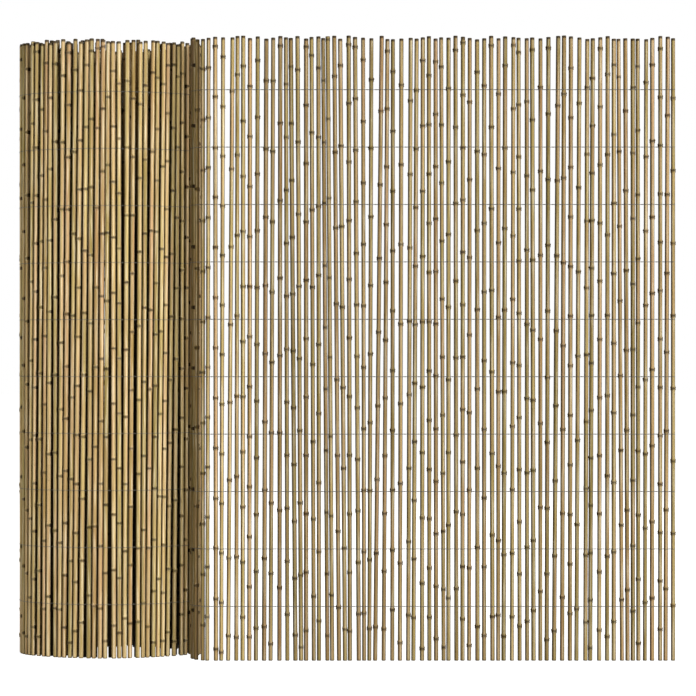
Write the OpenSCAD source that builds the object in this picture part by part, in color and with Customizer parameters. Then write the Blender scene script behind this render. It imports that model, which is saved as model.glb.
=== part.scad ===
/* [Screen] */
// Height of the screen, which is the length of its longest canes
screen_h = 1500; // [900:10:2000]
// Length of the whole screen when it is rolled out
screen_l = 4000; // [2600:50:4500]
// Length of the stretch that is laid out straight
straight_l = 1116; // [500:1:1500]

/* [Canes] */
// Mean diameter of a cane
cane_d = 10.4; // [8:0.1:12]
// How much thinner or thicker than the mean a cane can be
cane_d_spread = 0.5; // [0:0.1:0.6]
// Mean gap between neighbouring canes
cane_gap = 6; // [5:0.1:9]
// Narrowest gap between neighbouring canes
least_gap = 0.9; // [0.9:0.1:3]
// How much shorter than the screen a cane can be cut
cut_spread = 10; // [0:1:20]

/* [Bamboo joints] */
// Mean distance between the joints of a cane
joint_pitch = 158; // [110:1:220]
// How much nearer or wider than the mean the joints of a cane can be
joint_spread = 45; // [0:1:60]
// How far the ridge round a joint stands out of the cane
ridge_rise = 0.4; // [0.2:0.05:0.4]
// Radius of the round of that ridge
ridge_r = 2.4; // [1.6:0.1:2.6]

/* [Wires] */
// Number of wires across the canes
wire_rows = 10; // [10:1:10]
// Thickness of one strand of wire
wire_d = 1.2; // [0.8:0.1:1.6]
// Height of the lowest wire, and depth of the highest one below the top
wire_edge = 130; // [60:1:180]
// Room between a strand and the thickest canes
wire_play = 0.3; // [0.2:0.05:0.35]

/* [Roll] */
// Width of the roll's outer turn, from side to side
roll_w = 450; // [400:1:520]
// Depth of that turn, from front to back
roll_d = 260; // [230:1:300]
// Radius of that turn where it bends round the sides
side_r = 90; // [80:1:100]
// Distance from one turn to the next
turn_pitch = 17; // [16:0.5:20]
// Angle round the right side, towards the front, where the screen leaves the roll
leave_angle = 10; // [0:1:20]
// Length that runs forward from the roll to the bend
run_l = 83; // [60:1:160]
// Radius of the bend into the straight stretch
bend_r = 45; // [35:1:80]

/* [Hidden] */
bundles = 8;
$fn = 48;
bow_sides = 180;
bead_d = wire_d + 0.5;
bead_h = wire_d + 0.2;
bead_in = 0.2;
cane_color = "#C8B282";
wire_color = "#8C8B86";

// Seeded chance, a value from -1 to 1 for each cane
most_canes = 600;
chance_d = rands(-1, 1, most_canes, 11);
chance_foot = rands(-1, 1, most_canes, 23);
chance_top = rands(-1, 1, most_canes, 37);
chance_cut = rands(-1, 1, most_canes, 41);
chance_joint = rands(-1, 1, most_canes, 53);
chance_start = rands(-1, 1, most_canes, 67);

// The plan curve: straight, a bend, a run to the roll and sweeps round its sides and faces by turns
leave_side = [cos(leave_angle), -sin(leave_angle)];
leave_dir = [-sin(leave_angle), -cos(leave_angle)];
half_fall = turn_pitch / 2;
run_end = side_r * leave_side + run_l * leave_dir;
bend_centre = run_end + bend_r * leave_side;
bend_turn = 90 + leave_angle;
bend_l = arc_l(bend_r, bend_turn);
run_start = straight_l + bend_l;
roll_start = run_start + run_l;
roll_l = screen_l - roll_start;

function arc_l(r, turn) = r * turn * PI / 180;
function arc_turn(r, l) = l / r * 180 / PI;
function on_circle(r, a) = r * [cos(a), sin(a)];
wider = roll_w / 2 - side_r;
deeper = roll_d / 2 - side_r;
flatter = (pow(wider, 2) + pow(deeper, 2)) / (2 * deeper);
side_half = acos(wider / flatter);
function sweep_r(k) = side_r + (k % 2) * flatter - floor(k / 2) * half_fall;
function sweep_end(k) = 180 * floor(k / 2) + (k % 2 == 0 ? side_half : 180 - side_half);
function sweep_start(k) = k == 0 ? -leave_angle : sweep_end(k - 1);
function sweep_turn(k) = sweep_end(k) - sweep_start(k);
function sweep_centre(k) =
    k == 0 ? [0, 0] : sweep_centre(k - 1) + on_circle(sweep_r(k - 1) - sweep_r(k), sweep_start(k));
function before_sweep(k) = k == 0 ? 0 : before_sweep(k - 1) + arc_l(sweep_r(k - 1), sweep_turn(k - 1));
function sweep_at(l, k = 0) = l < before_sweep(k + 1) ? k : sweep_at(l, k + 1);
function turn_in(k, l) = min(sweep_turn(k), arc_turn(sweep_r(k), l - before_sweep(k)));
function angle_at(l) = sweep_start(sweep_at(l)) + turn_in(sweep_at(l), l);
function on_roll(l) = sweep_centre(sweep_at(l)) + on_circle(sweep_r(sweep_at(l)), angle_at(l));
function on_plan(l) =
    l < straight_l ? bend_centre + [straight_l - l, -bend_r]
    : l < run_start ? bend_centre + on_circle(bend_r, -90 - arc_turn(bend_r, l - straight_l))
    : l < roll_start ? run_end - (l - run_start) * leave_dir
    : on_roll(l - roll_start);

// Where each cane stands along the curve, at its foot and at its top
gap_spread = cane_gap - least_gap;
lean_pull = 0.25;
function cane_r(i) = (cane_d + cane_d_spread * chance_d[i]) / 2;
function gap_at(change) = max(least_gap, cane_gap + change);
function pair_r(i) = cane_r(i) + cane_r(i + 1);
function foot_step(i) = pair_r(i) + gap_at(gap_spread * chance_foot[i]);
function top_step(i, lean) = pair_r(i) + gap_at(gap_spread * chance_top[i] - lean_pull * lean);
stands = [
    for (
        i = 0, foot = cane_r(0), top = cane_r(0);
        max(foot, top) + cane_r(i) < screen_l;
        top = top + top_step(i, top - foot), foot = foot + foot_step(i), i = i + 1
    ) [foot, top]
];
count = len(stands);

function cane_h(i) = screen_h - cut_spread * (1 + chance_cut[i]) / 2;
feet = [for (s = stands) on_plan(s[0])];
tops = [for (s = stands) on_plan(s[1])];

// How far the two strands of a wire run from the plan curve, and where they turn at the last cane
thick_r = (cane_d + cane_d_spread) / 2;
strand_off = thick_r + wire_play + wire_d / 2;
function last_l(z) = stands[count - 1] * [1 - z / screen_h, z / screen_h] - roll_start;

// The origin is on the floor, in the middle of the part's outline
wire_reach = strand_off + wire_d / 2;
function reach(k) = sweep_r(k) + wire_reach;
low_x = sweep_centre(2)[0] - reach(2);
low_y = min(sweep_centre(3)[1] - reach(3), feet[0][1] - wire_reach);
high_x = feet[0][0] + wire_reach;
high_y = sweep_centre(1)[1] + reach(1);
middle = [low_x + high_x, low_y + high_y] / 2;

// Heights of the wires and of a cane's joints, which keep clear of them
wire_pitch = (screen_h - 2 * wire_edge) / (wire_rows - 1);
function wire_z(row) = wire_edge + (row - 1) * wire_pitch;
ridge_in = ridge_r - ridge_rise;
ridge_half = sqrt(pow(ridge_r, 2) - pow(ridge_in, 2));
joint_clear = ridge_half + wire_d / 2 + wire_play;
function near_wire(z) = wire_edge + wire_pitch * round((z - wire_edge) / wire_pitch);
function off_wire(z) =
    abs(z - near_wire(z)) > joint_clear ? z
    : near_wire(z) + (z < near_wire(z) ? -joint_clear : joint_clear);
function joints_of(i) =
    let (step = joint_pitch + joint_spread * chance_joint[i])
    [for (z = step * (0.55 + 0.4 * chance_start[i]); z < cane_h(i) - 2 * ridge_r; z = z + step) off_wire(z)];

// One bamboo cane, revolved, with a round ridge at each joint
module cane(i) {
    r = cane_r(i);
    rotate_extrude() union() {
        square([r, cane_h(i)]);
        for (z = joints_of(i)) translate([r - ridge_in, z]) circle(r = ridge_r);
    }
}

// A cane in its place, leaning from its foot towards its top
module stood_cane(i) {
    lean = tops[i] - feet[i];
    translate([feet[i][0], feet[i][1], 0])
        rotate([0, atan2(norm(lean), screen_h), atan2(lean[1], lean[0])])
        cane(i);
}

// One of the bundles of neighbouring canes, counted from the free end
module canes(bundle) {
    first = round(count * (bundle - 1) / bundles);
    last = round(count * bundle / bundles) - 1;
    color(cane_color) translate([-middle[0], -middle[1], 0])
        for (i = [first : last]) stood_cane(i);
}

// A round bead that joins two lengths of wire
module bead(place) {
    translate(place) cylinder(d = bead_d, h = bead_h, center = true);
}

// A straight length of wire with a bead at both ends
module bar(from, to) {
    run = to - from;
    bead(from);
    bead(to);
    translate(from) rotate(atan2(run[1], run[0])) translate([bead_in, -wire_d / 2, -wire_d / 2])
        cube([norm(run) - 2 * bead_in, wire_d, wire_d]);
}

// A length of wire bent round a centre, whose ends stay inside the beads of its neighbours
module bow(centre, r, start, turn) {
    inset = arc_turn(r, bead_in);
    translate(centre) rotate(start + inset)
        rotate_extrude(angle = turn - 2 * inset, $fn = bow_sides)
            translate([r - wire_d / 2, -wire_d / 2]) square(wire_d);
}

// A length of wire round one sweep of the roll, with a bead at its end
module sweep_bow(k, off, turn) {
    r = sweep_r(k) - off;
    bow(sweep_centre(k), r, sweep_start(k), turn);
    bead(sweep_centre(k) + on_circle(r, sweep_start(k) + turn));
}

// One strand of the wire at a height, in front of the canes or, with side -1, behind them
module strand(side, z) {
    off = side * strand_off;
    bar(feet[0] - [0, off], bend_centre - [0, bend_r + off]);
    bow(bend_centre, bend_r + off, -90 - bend_turn, bend_turn);
    bar(run_end - off * leave_side, (side_r - off) * leave_side);
    for (k = [0 : sweep_at(last_l(z))]) sweep_bow(k, off, turn_in(k, last_l(z)));
}

// One wire: two strands with the canes between them, closed round the first and the last cane
module wire(row) {
    z = wire_z(row);
    color(wire_color) translate([-middle[0], -middle[1], z]) {
        strand(1, z);
        strand(-1, z);
        bow(feet[0], strand_off, -90, 180);
        bow(on_roll(last_l(z)), strand_off, angle_at(last_l(z)), 180);
    }
}

canes(1);  // canes_1
canes(2);  // canes_2
canes(3);  // canes_3
canes(4);  // canes_4
canes(5);  // canes_5
canes(6);  // canes_6
canes(7);  // canes_7
canes(8);  // canes_8
wire(1);  // wire_1
wire(2);  // wire_2
wire(3);  // wire_3
wire(4);  // wire_4
wire(5);  // wire_5
wire(6);  // wire_6
wire(7);  // wire_7
wire(8);  // wire_8
wire(9);  // wire_9
wire(10);  // wire_10
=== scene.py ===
import math
import random

import bpy
import numpy as np
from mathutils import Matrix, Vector


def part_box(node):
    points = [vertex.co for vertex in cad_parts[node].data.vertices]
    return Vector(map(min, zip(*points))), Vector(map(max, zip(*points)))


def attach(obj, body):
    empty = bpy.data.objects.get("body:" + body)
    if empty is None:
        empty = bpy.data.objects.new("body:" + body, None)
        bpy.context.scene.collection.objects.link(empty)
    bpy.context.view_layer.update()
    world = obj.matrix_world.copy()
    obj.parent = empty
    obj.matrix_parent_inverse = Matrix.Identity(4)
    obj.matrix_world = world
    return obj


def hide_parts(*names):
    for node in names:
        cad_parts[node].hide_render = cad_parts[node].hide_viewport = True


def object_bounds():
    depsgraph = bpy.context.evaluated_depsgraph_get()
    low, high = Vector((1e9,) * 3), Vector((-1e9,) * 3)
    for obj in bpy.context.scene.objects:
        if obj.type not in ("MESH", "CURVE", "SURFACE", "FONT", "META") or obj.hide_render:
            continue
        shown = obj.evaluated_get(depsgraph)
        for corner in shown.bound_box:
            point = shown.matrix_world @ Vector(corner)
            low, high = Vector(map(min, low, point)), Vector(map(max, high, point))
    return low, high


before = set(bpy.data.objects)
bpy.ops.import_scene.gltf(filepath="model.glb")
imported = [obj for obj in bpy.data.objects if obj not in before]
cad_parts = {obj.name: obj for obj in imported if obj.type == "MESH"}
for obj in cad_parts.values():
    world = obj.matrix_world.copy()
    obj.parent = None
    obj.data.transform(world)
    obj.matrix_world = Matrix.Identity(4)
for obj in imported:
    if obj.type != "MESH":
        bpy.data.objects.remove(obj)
cad_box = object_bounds()

MM = 0.001

# Reading the CAD: how near to each other two points are one, the height of the slice that is read at an end,
# how far a joint's ridge stands out at least, and how far above one ridge the next one begins at least
SAME_POINT = 0.01 * MM
END_SLICE = 1.0 * MM
RIDGE_PROUD = 0.35 * MM
JOINTS_APART = 3.0 * MM

# Canes: points round a cane, and the rings of a joint from below to above it, each with its height and its
# rise in millimetres and its darkness, which is less at some joints
SIDES = 10
JOINT_FORM = [
    (-7.5, 0.0, 0.0), (-4.6, 0.4, 0.0), (-3.2, 1.7, 0.5), (-1.2, 1.1, 1.0),
    (0.8, 1.4, 1.0), (3.0, 1.9, 0.5), (4.8, 0.5, 0.0), (8.0, 0.0, 0.0),
]
FAINTEST_JOINT = 0.8
JOINT_SPREAD = 0.2
SEED = 7

# Cane ends: the round of the edge, the dark band at the foot and how dark it begins, the dark band at the top
# and how dark it is from which share of it up, and the hollow's radius as a share of the cane's, with its
# narrowing and depth
END_ROUND = 0.5 * MM
FOOT_BAND = 3.0 * MM
FOOT_DARK = 0.6
TOP_BAND = 7.0 * MM
TOP_DARK = 0.85
TOP_DARK_SHARE = 0.75
HOLLOW_SHARE = 0.36
HOLLOW_TAPER = 0.8
HOLLOW_DEPTH = 7.0 * MM

# Bud scars: the share of joints with one, how far it stands out and reaches up, and the cosine at its edge
SCAR_CHANCE = 0.4
SCAR_RISE = 0.9 * MM
SCAR_HIGH = 4 * MM
SCAR_EDGE = 0.6

# Roll: its middle from the part's left side and back, how near to it a cane past the bend stands, the turns
# from which a cane lies partly and wholly inside the outer layer, and how deep down its shade is full
ROLL_IN = (230 * MM, 137 * MM)
ROLL_REACH = 250 * MM
INSIDE_FROM = math.radians(400)
INSIDE_FULL = math.radians(520)
SHADE_DEPTH = 500 * MM

# Wires: a strand's radius and the sides of its section, how far off a cane and off the middle of the twist it
# runs in shares of that radius, its angles round a cane and the places of its points along a half turn
STRAND_R = 0.6 * MM
STRAND_SIDES = 4
CANE_PLAY = 1.05
TWIST_PLAY = 1.02
ROUND_POINTS = (-58, -20, 20, 58)
TWIST_POINTS = (0.15, 0.5, 0.85)

# Bamboo colours: a cane's own, and those of its stretches between joints, from the least to the most value
CANE_COLOURS = [
    (0.0, "7A6A36"), (0.2, "A08D52"), (0.45, "B6A064"), (0.65, "C6AE74"), (0.82, "BA9468"), (1.0, "8A6834"),
]
STRETCH_COLOURS = [(0.0, "988650"), (0.4, "B59D60"), (0.75, "C8B078"), (1.0, "B08A5C")]
STRETCH_SHARE = 0.4

# Tints along a cane: size across and along it, detail and roughness of the noise, the noise at which the tint
# begins and is full, its share and its colour. Fibres and spots: size, detail and roughness of the noise,
# their share by the noise, and their colour
TINTS = [
    (3.5 * MM, 300 * MM, 3.0, 0.55, 0.42, 0.58, 0.5, "6F602E"),
    (4.5 * MM, 400 * MM, 2.0, 0.5, 0.5, 0.62, 0.5, "BE9876"),
    (2.0 * MM, 120 * MM, 2.0, 0.5, 0.52, 0.66, 0.55, "E6DAB8"),
]
FIBRE_NOISE = ((0.6 * MM, 0.6 * MM, 45 * MM), 2.0, 0.6)
FIBRE_STOPS = [(0.3, 0.22), (0.55, 0.0)]
FIBRE_COLOUR = "6B4A33"
SPOT_NOISE = ((4 * MM, 4 * MM, 6 * MM), 2.0, 0.6)
SPOT_STOPS = [(0.68, 0.0), (0.76, 0.6)]
SPOT_COLOUR = "5E4630"

# Dark places on a cane: where the painted shade on the sides that face its neighbours begins and is full, how
# dark it is, how much less so past the bend, and the shares and colours of joints, scars, cut ends, the
# painted shade where other surfaces are near and the painted shade inside the roll
SIDE_SHADE_STOPS = [(0.45, 0.0), (0.84, 1.0)]
SIDE_SHADE_DARK = 0.86
SIDE_SHADE_LESS = 0.5
SIDE_SHADE_COLOUR = "362603"
JOINT_SHARE = 0.8
# How fast the painted shade at a joint's sides towards its neighbours grows with the joint's darkness
JOINT_SHADE_GAIN = 4.0
SCAR_SHARE = 0.6
JOINT_COLOUR = "170D04"
SCAR_COLOUR = "20130A"
CUT_SHARE = 0.92
CUT_COLOUR = "2C2218"
# Painted shade where other surfaces are near: its reach, samples, ramp and colour
NEAR_SHADE_REACH = 10 * MM
NEAR_SHADE_SAMPLES = 4
NEAR_SHADE_STOPS = [(0.25, 0.65), (0.6, 0.0)]
NEAR_SHADE_COLOUR = "2A1D05"
SHADE_SHARE = 0.92
SHADE_COLOUR = "1A1103"

# Finish: how rough bamboo is across its fibres, how much it shines and how deep its fibres are, and the same
# for galvanised wire with its grain
BAMBOO_ROUGH = [(0.3, 0.62), (0.7, 0.45)]
BAMBOO_SHINE = 0.08
BAMBOO_BUMP = (0.35, 0.3 * MM)
WIRE_NOISE = ((1.2 * MM, 1.2 * MM, 1.2 * MM), 3.0, 0.6)
WIRE_COLOURS = [(0.3, "504D46"), (0.6, "6C6961"), (0.8, "88857A")]
WIRE_METAL = 0.1
WIRE_ROUGH = [(0.3, 0.55), (0.7, 0.38)]
WIRE_BUMP = (0.2, 0.1 * MM)

# Studio: the floor's half width and grey, and how bright the world is for the light and as background
FLOOR_HALF = 30.0
FLOOR_GREY = 0.4
WORLD_LIGHT = 0.1
WORLD_SEEN = 1.0

# Lights: name, place, size and watts of the area lights, and name, place, watts and lit bundles of the spots,
# which light nothing else and are only blocked by the roll
AREA_LIGHTS = [
    ("key", (5.0, -4.7, 2.2), 1.0, 540),
    ("fill", (-4.0, -5.0, 1.6), 3.0, 16),
    ("back", (0.5, 4.5, 3.5), 3.0, 150),
]
SPOTS = [
    ("left_spot", (-3.0, -2.6, 1.0), 290, "roll"),
    ("right_spot", (2.6, -3.2, 1.0), 460, "roll"),
    ("bend_spot", (2.8, -2.0, 1.0), 380, "bend"),
]
BUNDLES_OF = {
    "roll": ("canes_4", "canes_5", "canes_6", "canes_7", "canes_8"),
    "bend": ("canes_3",),
}
SPOT_WIDTH = math.radians(40)
SPOT_BLEND = 0.8
SPOT_SOFT = 0.3
SPOT_AIM = 0.7

# Camera: the photograph's size and scale, the camera's distance from the end cane and its height, how far it
# sees, the column of pixels in which that cane stands, and the width of its sensor in millimetres
PHOTO_SIZE = 696
MM_A_PIXEL = 2.4
CAMERA_AWAY = 5.3
CAMERA_HIGH = 0.75
CAMERA_SEES = 100
END_CANE_PIXEL = 673
SENSOR = 36


def node_points(name):
    """A node's vertices and the index of the solid that each belongs to, solids being joined by place."""
    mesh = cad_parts[name].data
    co = np.zeros(len(mesh.vertices) * 3)
    mesh.vertices.foreach_get("co", co)
    co = co.reshape(-1, 3)
    _, same = np.unique(np.round(co / SAME_POINT).astype(np.int64), axis=0, return_inverse=True)
    same = same.ravel()
    group = np.arange(same.max() + 1)
    edges = np.zeros(len(mesh.edges) * 2, np.int64)
    mesh.edges.foreach_get("vertices", edges)
    a, b = same[edges.reshape(-1, 2)].T
    while True:
        low = np.minimum(group[a], group[b])
        before = group.copy()
        np.minimum.at(group, a, low)
        np.minimum.at(group, b, low)
        group = group[group]
        if np.array_equal(before, group):
            break
    return co, group[same]


def read_cane(co):
    """Foot, way up, radius, length and joint heights of one cane, from its vertices."""
    low, high = co[:, 2].min(), co[:, 2].max()
    foot = co[co[:, 2] < low + END_SLICE]
    top = co[co[:, 2] > high - END_SLICE]
    foot_at, top_at = foot.mean(0), top.mean(0)
    length = np.linalg.norm(top_at - foot_at)
    axis = (top_at - foot_at) / length
    along = (co - foot_at) @ axis
    out = np.linalg.norm(co - foot_at - np.outer(along, axis), axis=1)
    r = np.median(np.linalg.norm(foot - foot_at, axis=1))
    joints = []
    for h in np.sort(along[out > r + RIDGE_PROUD]):
        if not joints or h > joints[-1][-1] + JOINTS_APART:
            joints.append([])
        joints[-1].append(h)
    heights = [sum(j) / len(j) for j in joints]
    return {"foot": foot_at, "axis": axis, "r": r, "length": length, "joints": heights}


def in_order(canes, start):
    """The canes of one bundle in their order along the screen, from the one nearest to start."""
    left, ordered, at = list(canes), [], start
    while left:
        away = [np.linalg.norm(c["foot"] - at) for c in left]
        ordered.append(left.pop(away.index(min(away))))
        at = ordered[-1]["foot"]
    return ordered


def read_bundles():
    """The canes of every bundle, in their order from the free end to the middle of the roll."""
    start = np.array([cad_box[1].x, cad_box[0].y, 0.0])
    bundles = {}
    for name in sorted(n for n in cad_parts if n.startswith("canes_")):
        co, solid = node_points(name)
        canes = [read_cane(co[solid == s]) for s in np.unique(solid)]
        bundles[name] = in_order(canes, start)
        start = bundles[name][-1]["foot"]
    return bundles


def note_neighbours(canes):
    """Notes for each cane which canes stand beside it, and the way along the screen where it stands."""
    for i, c in enumerate(canes):
        c["beside"] = canes[max(i - 1, 0):i] + canes[i + 1:i + 2]
        before, after = canes[max(i - 1, 0)], canes[min(i + 1, len(canes) - 1)]
        c["along"] = Vector(after["foot"] - before["foot"]).normalized()


def note_place_in_roll(canes, roll_middle):
    """Notes for each cane whether it is past the bend, and how far it lies inside the roll's outer layer."""
    turned, last = 0.0, 0.0
    for c in canes:
        away = c["foot"][:2] - roll_middle
        angle = math.atan2(away[1], away[0])
        turned += (angle - last + math.pi) % (2 * math.pi) - math.pi
        last = angle
        c["rolled"] = 1.0 if np.linalg.norm(away) < ROLL_REACH else 0.0
        c["inside"] = min(1.0, max(0.0, (turned - INSIDE_FROM) / (INSIDE_FULL - INSIDE_FROM)))


def room_beside(cane, h):
    """Half of the gap between a cane and its nearest neighbour at a height."""
    at = cane["foot"] + cane["axis"] * h
    gaps = [np.linalg.norm(at - c["foot"] - c["axis"] * h) - cane["r"] - c["r"] for c in cane["beside"]]
    return min(gaps) / 2


def cane_rings(cane, chance):
    """Rings up one cane: height, radius, tone, cut end, and the joint, the step from it and its darkness."""
    r, length = cane["r"], cane["length"]
    rings = []

    def ring(h, radius, cut=0.0, joint=0, step=0.0, dark=0.0):
        rings.append((h, radius, tone, cut, joint, step, dark))

    tone = chance.random()
    ring(HOLLOW_DEPTH, HOLLOW_SHARE * r * HOLLOW_TAPER, cut=1.0)
    ring(0.0, HOLLOW_SHARE * r, cut=1.0)
    ring(0.0, r - END_ROUND, cut=1.0)
    ring(END_ROUND, r, cut=FOOT_DARK)
    ring(FOOT_BAND, r)
    for joint, height in enumerate(cane["joints"], 1):
        strength = FAINTEST_JOINT + JOINT_SPREAD * chance.random()
        room = room_beside(cane, height)
        above = False
        for step, rise, dark in JOINT_FORM:
            if step > 0 and not above:
                tone = chance.random()
                above = True
            radius = r + min(rise * MM, room)
            ring(height + step * MM, radius, joint=joint, step=step * MM, dark=dark * strength)
    ring(length - TOP_BAND, r)
    ring(length - TOP_BAND * TOP_DARK_SHARE, r, cut=TOP_DARK)
    ring(length - END_ROUND, r, cut=1.0)
    ring(length, r - END_ROUND, cut=1.0)
    ring(length, HOLLOW_SHARE * r, cut=1.0)
    ring(length - HOLLOW_DEPTH, HOLLOW_SHARE * r * HOLLOW_TAPER, cut=1.0)
    return rings


def shade_of(cane, h):
    """How dark a cane inside the roll is at a height, from 0 at its top to 1 deep down."""
    depth = (cane["length"] - h) / SHADE_DEPTH
    return cane["inside"] * min(1.0, max(0.0, depth))


def scar_of(step, angle, scar_angle):
    """How much of a bud scar lies at a point above a joint, from 0 to 1."""
    turn = math.cos(angle - scar_angle)
    return max(0.0, (turn - SCAR_EDGE) / (1 - SCAR_EDGE)) if 0.0 < step < SCAR_HIGH else 0.0


def add_cane(cane, chance, points, faces, data):
    """Adds one cane to the lists of points and faces, and what its material needs at each point to data."""
    axis = Vector(cane["axis"])
    side = axis.orthogonal().normalized()
    front = axis.cross(side)
    foot = Vector(cane["foot"])
    own_tone = chance.random()
    turn = chance.random() * 2 * math.pi
    scars = [chance.random() < SCAR_CHANCE for _ in cane["joints"]]
    rings = cane_rings(cane, chance)
    first = len(points)
    for h, radius, tone, cut, joint, step, dark in rings:
        scarred = joint > 0 and scars[joint - 1]
        shade = shade_of(cane, h)
        for k in range(SIDES):
            angle = turn + 2 * math.pi * k / SIDES
            scar = scar_of(step, angle, turn + math.pi * joint) if scarred else 0.0
            outward = side * math.cos(angle) + front * math.sin(angle)
            points.append(foot + axis * h + outward * (radius + scar * SCAR_RISE))
            # How far a point faces along the screen, towards the neighbours, sets the painted shade on the
            # sides
            values = {
                "joint": dark, "tone": tone, "cane": own_tone, "cut": cut, "scar": scar, "shade": shade,
                "rolled": cane["rolled"], "side": abs(outward.dot(cane["along"])),
            }
            for key, value in values.items():
                data.setdefault(key, []).append(value)
    for j in range(len(rings) - 1):
        a = first + j * SIDES
        for k in range(SIDES):
            n = (k + 1) % SIDES
            faces.append((a + k, a + n, a + SIDES + n, a + SIDES + k))
    last = first + (len(rings) - 1) * SIDES
    faces.append(tuple(first + k for k in reversed(range(SIDES))))
    faces.append(tuple(last + k for k in range(SIDES)))


def new_object(name, points, faces, smooth=True):
    """An object in the scene, made of points and faces."""
    mesh = bpy.data.meshes.new(name)
    mesh.from_pydata(points, [], faces)
    mesh.polygons.foreach_set("use_smooth", [smooth] * len(mesh.polygons))
    mesh.update()
    made = bpy.data.objects.new(name, mesh)
    bpy.context.scene.collection.objects.link(made)
    return made


def build_canes(name, canes, chance):
    """One bundle of canes as one piece."""
    points, faces, data = [], [], {}
    for cane in canes:
        add_cane(cane, chance, points, faces, data)
    piece = new_object(name, points, faces)
    for key, values in data.items():
        piece.data.attributes.new(key, "FLOAT", "POINT").data.foreach_set("value", values)
    return piece


def add_tube(path, radius, sides, points, faces):
    """Adds a tube along path to the lists of points and faces."""
    first = len(points)
    up = Vector((0, 0, 1))
    for i, p in enumerate(path):
        along = (path[min(i + 1, len(path) - 1)] - path[max(i - 1, 0)]).normalized()
        across = along.cross(up).normalized()
        over = across.cross(along)
        for k in range(sides):
            angle = 2 * math.pi * k / sides
            points.append(p + (across * math.cos(angle) + over * math.sin(angle)) * radius)
    for i in range(len(path) - 1):
        a = first + i * sides
        for k in range(sides):
            n = (k + 1) % sides
            faces.append((a + k, a + sides + k, a + sides + n, a + n))
    last = first + (len(path) - 1) * sides
    faces.append(tuple(first + k for k in range(sides)))
    faces.append(tuple(last + k for k in reversed(range(sides))))


def points_round(place, r, along, across):
    """A strand's points round one side of a cane."""
    reach = r + STRAND_R * CANE_PLAY
    angles = [math.radians(a) for a in ROUND_POINTS]
    return [place + (along * math.sin(a) + across * math.cos(a)) * reach for a in angles]


def points_of_twist(start, end, cross, side):
    """A strand's points along the half turn that takes it past the other strand."""
    points = []
    for t in TWIST_POINTS:
        a = math.pi * t
        off = cross * math.cos(a) + Vector((0, 0, side)) * math.sin(a)
        points.append(start.lerp(end, t) + off * STRAND_R * TWIST_PLAY)
    return points


def strand_path(canes, z, first_side):
    """The way of one strand along all the canes: round one side of each, then a half turn to the other."""
    at = [Vector(c["foot"]) + Vector(c["axis"]) * z for c in canes]
    path = []
    side = first_side
    for i, (c, p) in enumerate(zip(canes, at)):
        along = at[min(i + 1, len(at) - 1)] - at[max(i - 1, 0)]
        along.z = 0
        along.normalize()
        path += points_round(p, c["r"], along, Vector((-along.y, along.x, 0)) * side)
        if i + 1 < len(at):
            following = at[i + 1]
            ahead = (following - p).normalized()
            start = p + ahead * (c["r"] + STRAND_R)
            end = following - ahead * (canes[i + 1]["r"] + STRAND_R)
            path += points_of_twist(start, end, Vector((-ahead.y, ahead.x, 0)) * side, side)
        side = -side
    return path


def build_wire(name, canes):
    """One wire as one piece: two strands that are twisted together between the canes."""
    low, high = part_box(name)
    z = (low.z + high.z) / 2
    points, faces = [], []
    for first_side in (1, -1):
        add_tube(strand_path(canes, z, first_side), STRAND_R, STRAND_SIDES, points, faces)
    return new_object(name + "_twisted", points, faces)


def srgb(code):
    """A colour written as a hex code, as the linear values that a shader takes."""
    parts = [int(code[i:i + 2], 16) / 255 for i in (0, 2, 4)]
    return [p / 12.92 if p <= 0.04045 else ((p + 0.055) / 1.055) ** 2.4 for p in parts] + [1.0]


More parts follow.
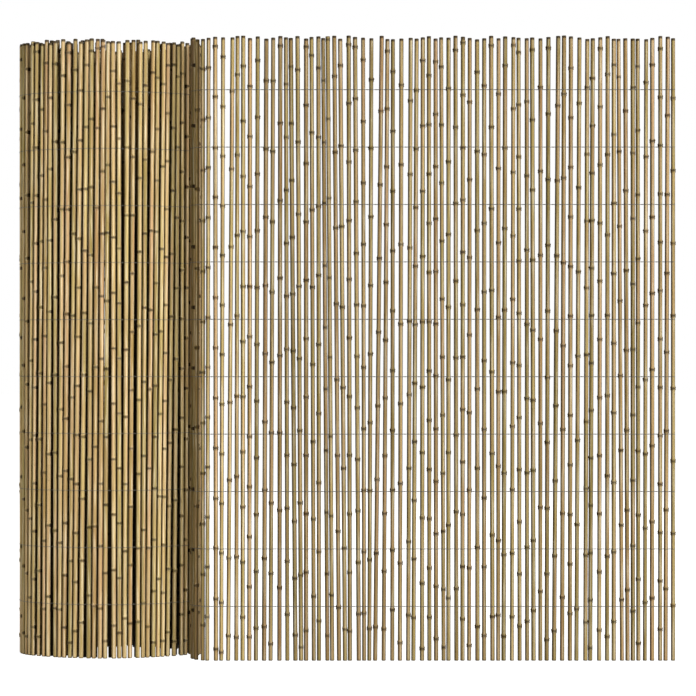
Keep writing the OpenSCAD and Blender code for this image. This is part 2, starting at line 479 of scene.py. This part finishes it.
class Nodes:
    """Short calls for making a material's nodes."""

    def __init__(self, name):
        self.material = bpy.data.materials.new(name)
        self.material.use_nodes = True
        self.tree = self.material.node_tree
        self.shader = self.tree.nodes["Principled BSDF"]

    def add(self, kind, **settings):
        node = self.tree.nodes.new(kind)
        for key, value in settings.items():
            setattr(node, key, value)
        return node

    def link(self, source, target):
        self.tree.links.new(source, target)

    def feed(self, socket, value):
        """Links an output to a socket, or sets the socket to a plain value."""
        if hasattr(value, "links"):
            self.link(value, socket)
        else:
            socket.default_value = value

    def attribute(self, name):
        return self.add("ShaderNodeAttribute", attribute_name=name).outputs["Fac"]

    def noise(self, size, detail, roughness):
        """Noise in the object's own frame, with its own size along each axis in metres."""
        place = self.add("ShaderNodeTexCoord").outputs["Object"]
        mapping = self.add("ShaderNodeMapping")
        mapping.inputs["Scale"].default_value = [1 / s for s in size]
        texture = self.add("ShaderNodeTexNoise")
        texture.inputs["Scale"].default_value = 1.0
        texture.inputs["Detail"].default_value = detail
        texture.inputs["Roughness"].default_value = roughness
        self.link(place, mapping.inputs["Vector"])
        self.link(mapping.outputs["Vector"], texture.inputs["Vector"])
        return texture.outputs["Fac"]

    def ramp(self, source, stops):
        """A ramp of colours, each stop with its place and its hex code."""
        return self.colour_ramp(source, [(place, srgb(code)) for place, code in stops])

    def value_ramp(self, source, stops):
        """A ramp of values, each stop with its place and its value."""
        return self.colour_ramp(source, [(place, (v, v, v, 1)) for place, v in stops])

    def colour_ramp(self, source, stops):
        node = self.add("ShaderNodeValToRGB")
        ramp = node.color_ramp
        while len(ramp.elements) < len(stops):
            ramp.elements.new(0.5)
        for element, (place, colour) in zip(ramp.elements, stops):
            element.position = place
            element.color = colour
        self.link(source, node.inputs["Fac"])
        return node.outputs["Color"]

    def mix(self, factor, a, b):
        node = self.add("ShaderNodeMix", data_type="RGBA")
        for socket, value in zip((node.inputs[0], node.inputs[6], node.inputs[7]), (factor, a, b)):
            self.feed(socket, value)
        return node.outputs[2]

    def tinted(self, colour, share, code):
        """A colour turned by a share towards the one of a hex code."""
        return self.mix(share, colour, srgb(code))

    def math(self, operation, a, b):
        node = self.add("ShaderNodeMath", operation=operation)
        for socket, value in zip(node.inputs, (a, b)):
            self.feed(socket, value)
        return node.outputs[0]

    def times(self, a, b):
        return self.math("MULTIPLY", a, b)

    def bump(self, height, strength, distance):
        node = self.add("ShaderNodeBump")
        node.inputs["Strength"].default_value = strength
        node.inputs["Distance"].default_value = distance
        self.link(height, node.inputs["Height"])
        self.link(node.outputs["Normal"], self.shader.inputs["Normal"])


def cane_colour(n, fibre):
    """The colour of the clean bamboo: by cane, by stretch between joints, and along its fibres."""
    own = n.ramp(n.attribute("cane"), CANE_COLOURS)
    colour = n.mix(STRETCH_SHARE, own, n.ramp(n.attribute("tone"), STRETCH_COLOURS))
    for across, along, detail, roughness, begin, full, share, code in TINTS:
        noise = n.noise((across, across, along), detail, roughness)
        colour = n.tinted(colour, n.times(n.value_ramp(noise, [(begin, 0.0), (full, 1.0)]), share), code)
    colour = n.tinted(colour, n.value_ramp(fibre, FIBRE_STOPS), FIBRE_COLOUR)
    return n.tinted(colour, n.value_ramp(n.noise(*SPOT_NOISE), SPOT_STOPS), SPOT_COLOUR)


def with_dark_places(n, colour):
    """Adds joints, scars, cut ends and painted shade at joint sides, near other canes, on the sides and in
    the roll.
    """
    # Painted shade on the sides of a cane that face its neighbours
    sides = n.value_ramp(n.attribute("side"), SIDE_SHADE_STOPS)
    joint = n.attribute("joint")
    # Painted shade at a joint's sides towards the neighbours, on top of its own dark ring
    joint_side_shade = n.times(n.math("MINIMUM", n.times(joint, JOINT_SHADE_GAIN), 1.0), sides)
    colour = n.tinted(colour, n.math("MAXIMUM", n.times(joint, JOINT_SHARE), joint_side_shade), JOINT_COLOUR)
    colour = n.tinted(colour, n.times(n.attribute("scar"), SCAR_SHARE), SCAR_COLOUR)
    colour = n.tinted(colour, n.times(n.attribute("cut"), CUT_SHARE), CUT_COLOUR)
    # Painted shade where other surfaces are near, from ambient occlusion
    near = n.add("ShaderNodeAmbientOcclusion", samples=NEAR_SHADE_SAMPLES)
    near.inputs["Distance"].default_value = NEAR_SHADE_REACH
    colour = n.tinted(colour, n.value_ramp(near.outputs["AO"], NEAR_SHADE_STOPS), NEAR_SHADE_COLOUR)
    # The painted shade on the sides, weaker past the bend
    side_shade = n.math("SUBTRACT", SIDE_SHADE_DARK, n.times(n.attribute("rolled"), SIDE_SHADE_LESS))
    colour = n.tinted(colour, n.times(sides, side_shade), SIDE_SHADE_COLOUR)
    return n.tinted(colour, n.times(n.attribute("shade"), SHADE_SHARE), SHADE_COLOUR)


def bamboo():
    n = Nodes("bamboo")
    fibre = n.noise(*FIBRE_NOISE)
    n.link(with_dark_places(n, cane_colour(n, fibre)), n.shader.inputs["Base Color"])
    n.link(n.value_ramp(fibre, BAMBOO_ROUGH), n.shader.inputs["Roughness"])
    n.shader.inputs["Specular IOR Level"].default_value = BAMBOO_SHINE
    n.bump(fibre, *BAMBOO_BUMP)
    return n.material


def galvanised():
    n = Nodes("galvanised_wire")
    grain = n.noise(*WIRE_NOISE)
    n.link(n.ramp(grain, WIRE_COLOURS), n.shader.inputs["Base Color"])
    n.shader.inputs["Metallic"].default_value = WIRE_METAL
    n.link(n.value_ramp(grain, WIRE_ROUGH), n.shader.inputs["Roughness"])
    n.bump(grain, *WIRE_BUMP)
    return n.material


def make_canes(bundles):
    chance = random.Random(SEED)
    material = bamboo()
    for name, canes in bundles.items():
        piece = build_canes(name + "_bamboo", canes, chance)
        piece.data.materials.append(material)
        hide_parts(name)
        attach(piece, "root")


def make_wires(canes):
    material = galvanised()
    for name in sorted(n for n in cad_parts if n.startswith("wire_")):
        piece = build_wire(name, canes)
        piece.data.materials.append(material)
        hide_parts(name)
        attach(piece, "root")


def make_floor():
    """A floor that throws light back as a grey one does, and is white to the camera and in reflections."""
    half = FLOOR_HALF
    corners = [(-half, -half, 0), (half, -half, 0), (half, half, 0), (-half, half, 0)]
    floor = new_object("floor", corners, [(0, 1, 2, 3)], smooth=False)
    n = Nodes("floor")
    n.tree.nodes.remove(n.shader)
    diffuse = n.add("ShaderNodeBsdfDiffuse")
    diffuse.inputs["Color"].default_value = (FLOOR_GREY, FLOOR_GREY, FLOOR_GREY, 1)
    glow = n.add("ShaderNodeEmission")
    path = n.add("ShaderNodeLightPath")
    seen = n.math("MAXIMUM", path.outputs["Is Camera Ray"], path.outputs["Is Glossy Ray"])
    seen = n.math("MAXIMUM", seen, path.outputs["Is Transmission Ray"])
    n.link(seen, glow.inputs["Strength"])
    both = n.add("ShaderNodeAddShader")
    n.link(diffuse.outputs[0], both.inputs[0])
    n.link(glow.outputs[0], both.inputs[1])
    n.link(both.outputs[0], n.tree.nodes["Material Output"].inputs["Surface"])
    floor.data.materials.append(n.material)


def make_world():
    """A white world that gives less light than it shows to the camera and in reflections."""
    world = bpy.data.worlds.new("studio")
    bpy.context.scene.world = world
    world.use_nodes = True
    tree = world.node_tree
    back = tree.nodes["Background"]
    path = tree.nodes.new("ShaderNodeLightPath")
    seen = tree.nodes.new("ShaderNodeMath")
    seen.operation = "MAXIMUM"
    tree.links.new(path.outputs["Is Camera Ray"], seen.inputs[0])
    tree.links.new(path.outputs["Is Glossy Ray"], seen.inputs[1])
    level = tree.nodes.new("ShaderNodeMapRange")
    level.inputs["To Min"].default_value = WORLD_LIGHT
    level.inputs["To Max"].default_value = WORLD_SEEN
    tree.links.new(seen.outputs[0], level.inputs["Value"])
    tree.links.new(level.outputs["Result"], back.inputs["Strength"])
    back.inputs["Color"].default_value = (1, 1, 1, 1)


def new_lamp(name, kind, place, target, watts):
    """A lamp that points from its place to its target."""
    light = bpy.data.lights.new(name, kind)
    light.energy = watts
    lamp = bpy.data.objects.new(name, light)
    lamp.location = place
    lamp.rotation_euler = (Vector(target) - Vector(place)).to_track_quat("-Z", "Y").to_euler()
    bpy.context.scene.collection.objects.link(lamp)
    return lamp


def group_of(name):
    """A collection of the canes of some bundles, which a lamp can be kept to."""
    group = bpy.data.collections.new(name)
    for bundle in BUNDLES_OF[name]:
        group.objects.link(bpy.data.objects[bundle + "_bamboo"])
    return group


def make_lights(middle, roll_middle):
    for name, place, size, watts in AREA_LIGHTS:
        lamp = new_lamp(name, "AREA", place, middle, watts)
        lamp.data.shape = "SQUARE"
        lamp.data.size = size
    groups = {name: group_of(name) for name in BUNDLES_OF}
    aim = (roll_middle[0], roll_middle[1], SPOT_AIM)
    for name, place, watts, lit in SPOTS:
        lamp = new_lamp(name, "SPOT", place, aim, watts)
        lamp.data.spot_size = SPOT_WIDTH
        lamp.data.spot_blend = SPOT_BLEND
        lamp.data.shadow_soft_size = SPOT_SOFT
        lamp.light_linking.receiver_collection = groups[lit]
        lamp.light_linking.blocker_collection = groups["roll"]


def make_camera(end_cane):
    camera = bpy.data.cameras.new("photo_camera")
    width = PHOTO_SIZE * MM_A_PIXEL * MM
    camera.sensor_width = SENSOR
    camera.lens = SENSOR * CAMERA_AWAY / width
    camera.clip_end = CAMERA_SEES
    eye = bpy.data.objects.new("photo_camera", camera)
    from_middle = (END_CANE_PIXEL - PHOTO_SIZE / 2) * MM_A_PIXEL * MM
    eye.location = (end_cane["foot"][0] - from_middle, end_cane["foot"][1] - CAMERA_AWAY, CAMERA_HIGH)
    eye.rotation_euler = (math.pi / 2, 0, 0)
    bpy.context.scene.collection.objects.link(eye)
    bpy.context.scene.camera = eye


roll_middle = np.array([cad_box[0].x + ROLL_IN[0], cad_box[1].y - ROLL_IN[1]])
bundles = read_bundles()
all_canes = [cane for canes in bundles.values() for cane in canes]
note_neighbours(all_canes)
note_place_in_roll(all_canes, roll_middle)
make_camera(all_canes[0])
make_canes(bundles)
make_wires(all_canes)
make_floor()
make_world()
make_lights((cad_box[0] + cad_box[1]) / 2, roll_middle)
bpy.context.scene.view_settings.view_transform = "Standard"
